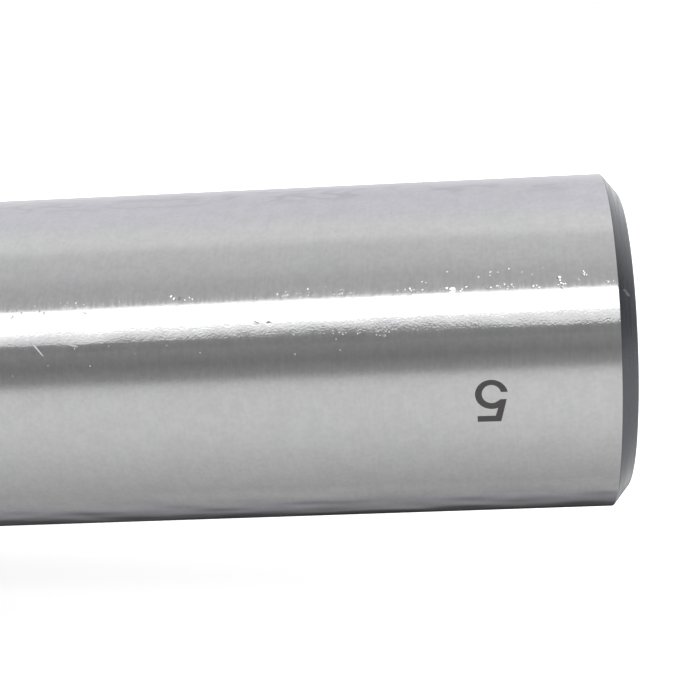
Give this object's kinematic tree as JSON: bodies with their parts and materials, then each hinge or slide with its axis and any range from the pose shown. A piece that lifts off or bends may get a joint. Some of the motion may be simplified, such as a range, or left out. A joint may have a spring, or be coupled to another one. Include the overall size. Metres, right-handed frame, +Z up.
{
  "type": "live center",
  "caption": "Heavy-duty live center with a No. 5 Morse taper shank: a 60 degree point turns in a round head on ball, thrust and needle bearings.",
  "frame": {"origin": "on the axis of rotation, at the gauge plane of the Morse taper", "axes": "+X along the axis, from the gauge plane to the shank's small end; the point faces -X; +Z up"},
  "size_m": [0.2544, 0.072, 0.072],
  "materials": {
    "ground_steel": "ground bright, with a thin clear oil film",
    "black_oxide": "turned, black oxide",
    "bearing_steel": "hardened and polished",
    "brass": "machined",
    "spring_steel": "blued spring steel",
    "rubber": "moulded nitrile rubber"
  },
  "bodies": {
    "housing": {"housing": "ground_steel", "cover_nut": "black_oxide", "cover_o_ring": "rubber", "shaft_seal": "rubber", "seal_garter_spring": "spring_steel", "front_bearing_outer_race": "bearing_steel", "front_bearing_front_shield": "spring_steel", "front_bearing_rear_shield": "spring_steel", "thrust_housing_washer": "bearing_steel", "needle_bearing_shell": "bearing_steel", "needle_retaining_ring": "spring_steel", "cover_lock_screw": "black_oxide", "cover_lock_pad": "brass", "grease_plug": "black_oxide"},
    "spindle": {"spindle": "ground_steel", "front_bearing_inner_race": "bearing_steel", "spindle_retaining_ring": "spring_steel", "thrust_shaft_washer": "bearing_steel"},
    "front_cage": {"front_bearing_cage": "brass"},
    "thrust_cage": {"thrust_cage": "brass"},
    "needle_cage": {"needle_cage": "brass"},
    "front_ball_1": {"front_ball_1": "bearing_steel"},
    "front_ball_2": {"front_ball_2": "bearing_steel"},
    "front_ball_3": {"front_ball_3": "bearing_steel"},
    "front_ball_4": {"front_ball_4": "bearing_steel"},
    "front_ball_5": {"front_ball_5": "bearing_steel"},
    "front_ball_6": {"front_ball_6": "bearing_steel"},
    "front_ball_7": {"front_ball_7": "bearing_steel"},
    "front_ball_8": {"front_ball_8": "bearing_steel"},
    "front_ball_9": {"front_ball_9": "bearing_steel"},
    "thrust_ball_1": {"thrust_ball_1": "bearing_steel"},
    "thrust_ball_2": {"thrust_ball_2": "bearing_steel"},
    "thrust_ball_3": {"thrust_ball_3": "bearing_steel"},
    "thrust_ball_4": {"thrust_ball_4": "bearing_steel"},
    "thrust_ball_5": {"thrust_ball_5": "bearing_steel"},
    "thrust_ball_6": {"thrust_ball_6": "bearing_steel"},
    "thrust_ball_7": {"thrust_ball_7": "bearing_steel"},
    "thrust_ball_8": {"thrust_ball_8": "bearing_steel"},
    "thrust_ball_9": {"thrust_ball_9": "bearing_steel"},
    "thrust_ball_10": {"thrust_ball_10": "bearing_steel"},
    "thrust_ball_11": {"thrust_ball_11": "bearing_steel"},
    "thrust_ball_12": {"thrust_ball_12": "bearing_steel"},
    "needle_roller_1": {"needle_roller_1": "bearing_steel"},
    "needle_roller_2": {"needle_roller_2": "bearing_steel"},
    "needle_roller_3": {"needle_roller_3": "bearing_steel"},
    "needle_roller_4": {"needle_roller_4": "bearing_steel"},
    "needle_roller_5": {"needle_roller_5": "bearing_steel"},
    "needle_roller_6": {"needle_roller_6": "bearing_steel"},
    "needle_roller_7": {"needle_roller_7": "bearing_steel"},
    "needle_roller_8": {"needle_roller_8": "bearing_steel"},
    "needle_roller_9": {"needle_roller_9": "bearing_steel"},
    "needle_roller_10": {"needle_roller_10": "bearing_steel"},
    "needle_roller_11": {"needle_roller_11": "bearing_steel"},
    "needle_roller_12": {"needle_roller_12": "bearing_steel"}
  },
  "joints": [
    {"name": "spindle_spin", "type": "hinge", "parent": "housing", "child": "spindle", "pos_m": [0, 0, 0], "axis": [1, 0, 0], "continuous": true},
    {"name": "front_cage_orbit", "type": "hinge", "parent": "housing", "child": "front_cage", "pos_m": [-0.057, 0, 0], "axis": [1, 0, 0], "continuous": true},
    {"name": "thrust_cage_orbit", "type": "hinge", "parent": "housing", "child": "thrust_cage", "pos_m": [-0.0365, 0, 0], "axis": [1, 0, 0], "continuous": true},
    {"name": "needle_cage_orbit", "type": "hinge", "parent": "housing", "child": "needle_cage", "pos_m": [0.024, 0, 0], "axis": [1, 0, 0], "continuous": true},
    {"name": "front_ball_1_spin", "type": "hinge", "parent": "front_cage", "child": "front_ball_1", "pos_m": [-0.057, 0, 0.023], "axis": [1, 0, 0], "continuous": true},
    {"name": "front_ball_2_spin", "type": "hinge", "parent": "front_cage", "child": "front_ball_2", "pos_m": [-0.057, -0.01478, 0.01762], "axis": [1, 0, 0], "continuous": true},
    {"name": "front_ball_3_spin", "type": "hinge", "parent": "front_cage", "child": "front_ball_3", "pos_m": [-0.057, -0.02265, 0.00399], "axis": [1, 0, 0], "continuous": true},
    {"name": "front_ball_4_spin", "type": "hinge", "parent": "front_cage", "child": "front_ball_4", "pos_m": [-0.057, -0.01992, -0.0115], "axis": [1, 0, 0], "continuous": true},
    {"name": "front_ball_5_spin", "type": "hinge", "parent": "front_cage", "child": "front_ball_5", "pos_m": [-0.057, -0.00787, -0.02161], "axis": [1, 0, 0], "continuous": true},
    {"name": "front_ball_6_spin", "type": "hinge", "parent": "front_cage", "child": "front_ball_6", "pos_m": [-0.057, 0.00787, -0.02161], "axis": [1, 0, 0], "continuous": true},
    {"name": "front_ball_7_spin", "type": "hinge", "parent": "front_cage", "child": "front_ball_7", "pos_m": [-0.057, 0.01992, -0.0115], "axis": [1, 0, 0], "continuous": true},
    {"name": "front_ball_8_spin", "type": "hinge", "parent": "front_cage", "child": "front_ball_8", "pos_m": [-0.057, 0.02265, 0.00399], "axis": [1, 0, 0], "continuous": true},
    {"name": "front_ball_9_spin", "type": "hinge", "parent": "front_cage", "child": "front_ball_9", "pos_m": [-0.057, 0.01478, 0.01762], "axis": [1, 0, 0], "continuous": true},
    {"name": "thrust_ball_1_spin", "type": "hinge", "parent": "thrust_cage", "child": "thrust_ball_1", "pos_m": [-0.0365, 0, 0.018], "axis": [0, 0, 1], "continuous": true},
    {"name": "thrust_ball_2_spin", "type": "hinge", "parent": "thrust_cage", "child": "thrust_ball_2", "pos_m": [-0.0365, -0.009, 0.01559], "axis": [0, -0.5, 0.866], "continuous": true},
    {"name": "thrust_ball_3_spin", "type": "hinge", "parent": "thrust_cage", "child": "thrust_ball_3", "pos_m": [-0.0365, -0.01559, 0.009], "axis": [0, -0.866, 0.5], "continuous": true},
    {"name": "thrust_ball_4_spin", "type": "hinge", "parent": "thrust_cage", "child": "thrust_ball_4", "pos_m": [-0.0365, -0.018, 0], "axis": [0, -1, 0], "continuous": true},
    {"name": "thrust_ball_5_spin", "type": "hinge", "parent": "thrust_cage", "child": "thrust_ball_5", "pos_m": [-0.0365, -0.01559, -0.009], "axis": [0, -0.866, -0.5], "continuous": true},
    {"name": "thrust_ball_6_spin", "type": "hinge", "parent": "thrust_cage", "child": "thrust_ball_6", "pos_m": [-0.0365, -0.009, -0.01559], "axis": [0, -0.5, -0.866], "continuous": true},
    {"name": "thrust_ball_7_spin", "type": "hinge", "parent": "thrust_cage", "child": "thrust_ball_7", "pos_m": [-0.0365, 0, -0.018], "axis": [0, 0, -1], "continuous": true},
    {"name": "thrust_ball_8_spin", "type": "hinge", "parent": "thrust_cage", "child": "thrust_ball_8", "pos_m": [-0.0365, 0.009, -0.01559], "axis": [0, 0.5, -0.866], "continuous": true},
    {"name": "thrust_ball_9_spin", "type": "hinge", "parent": "thrust_cage", "child": "thrust_ball_9", "pos_m": [-0.0365, 0.01559, -0.009], "axis": [0, 0.866, -0.5], "continuous": true},
    {"name": "thrust_ball_10_spin", "type": "hinge", "parent": "thrust_cage", "child": "thrust_ball_10", "pos_m": [-0.0365, 0.018, 0], "axis": [0, 1, 0], "continuous": true},
    {"name": "thrust_ball_11_spin", "type": "hinge", "parent": "thrust_cage", "child": "thrust_ball_11", "pos_m": [-0.0365, 0.01559, 0.009], "axis": [0, 0.866, 0.5], "continuous": true},
    {"name": "thrust_ball_12_spin", "type": "hinge", "parent": "thrust_cage", "child": "thrust_ball_12", "pos_m": [-0.0365, 0.009, 0.01559], "axis": [0, 0.5, 0.866], "continuous": true},
    {"name": "needle_roller_1_spin", "type": "hinge", "parent": "needle_cage", "child": "needle_roller_1", "pos_m": [0.024, 0, 0.0115], "axis": [1, 0, 0], "continuous": true},
    {"name": "needle_roller_2_spin", "type": "hinge", "parent": "needle_cage", "child": "needle_roller_2", "pos_m": [0.024, -0.00575, 0.00996], "axis": [1, 0, 0], "continuous": true},
    {"name": "needle_roller_3_spin", "type": "hinge", "parent": "needle_cage", "child": "needle_roller_3", "pos_m": [0.024, -0.00996, 0.00575], "axis": [1, 0, 0], "continuous": true},
    {"name": "needle_roller_4_spin", "type": "hinge", "parent": "needle_cage", "child": "needle_roller_4", "pos_m": [0.024, -0.0115, 0], "axis": [1, 0, 0], "continuous": true},
    {"name": "needle_roller_5_spin", "type": "hinge", "parent": "needle_cage", "child": "needle_roller_5", "pos_m": [0.024, -0.00996, -0.00575], "axis": [1, 0, 0], "continuous": true},
    {"name": "needle_roller_6_spin", "type": "hinge", "parent": "needle_cage", "child": "needle_roller_6", "pos_m": [0.024, -0.00575, -0.00996], "axis": [1, 0, 0], "continuous": true},
    {"name": "needle_roller_7_spin", "type": "hinge", "parent": "needle_cage", "child": "needle_roller_7", "pos_m": [0.024, 0, -0.0115], "axis": [1, 0, 0], "continuous": true},
    {"name": "needle_roller_8_spin", "type": "hinge", "parent": "needle_cage", "child": "needle_roller_8", "pos_m": [0.024, 0.00575, -0.00996], "axis": [1, 0, 0], "continuous": true},
    {"name": "needle_roller_9_spin", "type": "hinge", "parent": "needle_cage", "child": "needle_roller_9", "pos_m": [0.024, 0.00996, -0.00575], "axis": [1, 0, 0], "continuous": true},
    {"name": "needle_roller_10_spin", "type": "hinge", "parent": "needle_cage", "child": "needle_roller_10", "pos_m": [0.024, 0.0115, 0], "axis": [1, 0, 0], "continuous": true},
    {"name": "needle_roller_11_spin", "type": "hinge", "parent": "needle_cage", "child": "needle_roller_11", "pos_m": [0.024, 0.00996, 0.00575], "axis": [1, 0, 0], "continuous": true},
    {"name": "needle_roller_12_spin", "type": "hinge", "parent": "needle_cage", "child": "needle_roller_12", "pos_m": [0.024, 0.00575, 0.00996], "axis": [1, 0, 0], "continuous": true}
  ],
  "couplings": [
    {"joint": "front_cage_orbit", "follows": "spindle_spin", "ratio": 0.39647},
    {"joint": "thrust_cage_orbit", "follows": "spindle_spin", "ratio": 0.5},
    {"joint": "needle_cage_orbit", "follows": "spindle_spin", "ratio": 0.43478},
    {"joint": "front_ball_1_spin", "follows": "spindle_spin", "ratio": -2.3112},
    {"joint": "front_ball_2_spin", "follows": "spindle_spin", "ratio": -2.3112},
    {"joint": "front_ball_3_spin", "follows": "spindle_spin", "ratio": -2.3112},
    {"joint": "front_ball_4_spin", "follows": "spindle_spin", "ratio": -2.3112},
    {"joint": "front_ball_5_spin", "follows": "spindle_spin", "ratio": -2.3112},
    {"joint": "front_ball_6_spin", "follows": "spindle_spin", "ratio": -2.3112},
    {"joint": "front_ball_7_spin", "follows": "spindle_spin", "ratio": -2.3112},
    {"joint": "front_ball_8_spin", "follows": "spindle_spin", "ratio": -2.3112},
    {"joint": "front_ball_9_spin", "follows": "spindle_spin", "ratio": -2.3112},
    {"joint": "thrust_ball_1_spin", "follows": "spindle_spin", "ratio": 2.2676},
    {"joint": "thrust_ball_2_spin", "follows": "spindle_spin", "ratio": 2.2676},
    {"joint": "thrust_ball_3_spin", "follows": "spindle_spin", "ratio": 2.2676},
    {"joint": "thrust_ball_4_spin", "follows": "spindle_spin", "ratio": 2.2676},
    {"joint": "thrust_ball_5_spin", "follows": "spindle_spin", "ratio": 2.2676},
    {"joint": "thrust_ball_6_spin", "follows": "spindle_spin", "ratio": 2.2676},
    {"joint": "thrust_ball_7_spin", "follows": "spindle_spin", "ratio": 2.2676},
    {"joint": "thrust_ball_8_spin", "follows": "spindle_spin", "ratio": 2.2676},
    {"joint": "thrust_ball_9_spin", "follows": "spindle_spin", "ratio": 2.2676},
    {"joint": "thrust_ball_10_spin", "follows": "spindle_spin", "ratio": 2.2676},
    {"joint": "thrust_ball_11_spin", "follows": "spindle_spin", "ratio": 2.2676},
    {"joint": "thrust_ball_12_spin", "follows": "spindle_spin", "ratio": 2.2676},
    {"joint": "needle_roller_1_spin", "follows": "spindle_spin", "ratio": -3.7681},
    {"joint": "needle_roller_2_spin", "follows": "spindle_spin", "ratio": -3.7681},
    {"joint": "needle_roller_3_spin", "follows": "spindle_spin", "ratio": -3.7681},
    {"joint": "needle_roller_4_spin", "follows": "spindle_spin", "ratio": -3.7681},
    {"joint": "needle_roller_5_spin", "follows": "spindle_spin", "ratio": -3.7681},
    {"joint": "needle_roller_6_spin", "follows": "spindle_spin", "ratio": -3.7681},
    {"joint": "needle_roller_7_spin", "follows": "spindle_spin", "ratio": -3.7681},
    {"joint": "needle_roller_8_spin", "follows": "spindle_spin", "ratio": -3.7681},
    {"joint": "needle_roller_9_spin", "follows": "spindle_spin", "ratio": -3.7681},
    {"joint": "needle_roller_10_spin", "follows": "spindle_spin", "ratio": -3.7681},
    {"joint": "needle_roller_11_spin", "follows": "spindle_spin", "ratio": -3.7681},
    {"joint": "needle_roller_12_spin", "follows": "spindle_spin", "ratio": -3.7681}
  ]
}
